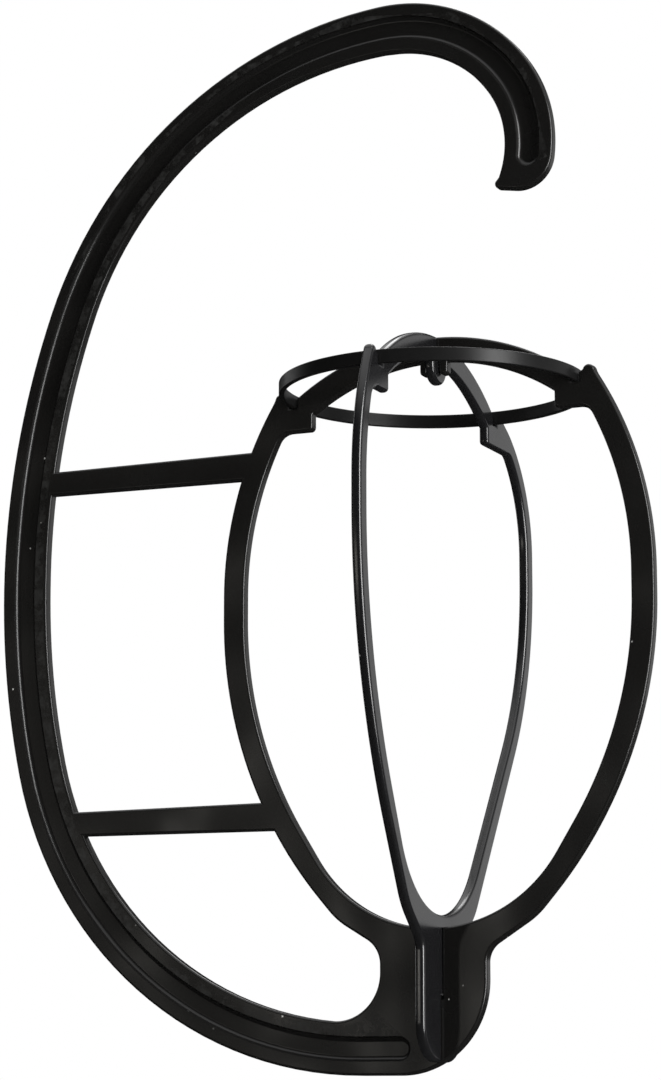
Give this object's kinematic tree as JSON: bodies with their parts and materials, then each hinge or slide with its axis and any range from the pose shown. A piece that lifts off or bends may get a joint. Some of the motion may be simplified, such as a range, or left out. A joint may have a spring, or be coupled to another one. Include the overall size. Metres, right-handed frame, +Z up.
{
  "type": "hanging wig stand",
  "caption": "Hanging wig stand: a flat frame with a tall side hook carries an open egg-shaped cage of two crossed plates and a crown ring.",
  "frame": {"origin": "the seat under the top of the hook, where a rail bears, on the middle plane of the hook frame", "axes": "+Z is up. The hook frame lies in the XZ plane with its arm towards -X. The cross frame lies across it, with the shallower side of the cage towards -Y and the fuller side towards +Y."},
  "size_m": [0.231, 0.149, 0.3499],
  "materials": {
    "hook_frame": "black, satin to glossy, as moulded",
    "cross_frame": "black, glossy, as moulded",
    "crown_ring": "black, glossy, as moulded"
  },
  "bodies": {
    "frame": {"hook_frame": "hook_frame", "cross_frame": "cross_frame"},
    "ring": {"crown_ring": "crown_ring"}
  },
  "joints": [
    {"name": "ring_lift", "type": "slide", "parent": "frame", "child": "ring", "axis": [0, 0, 1], "range_m": [0, 0.04]}
  ]
}
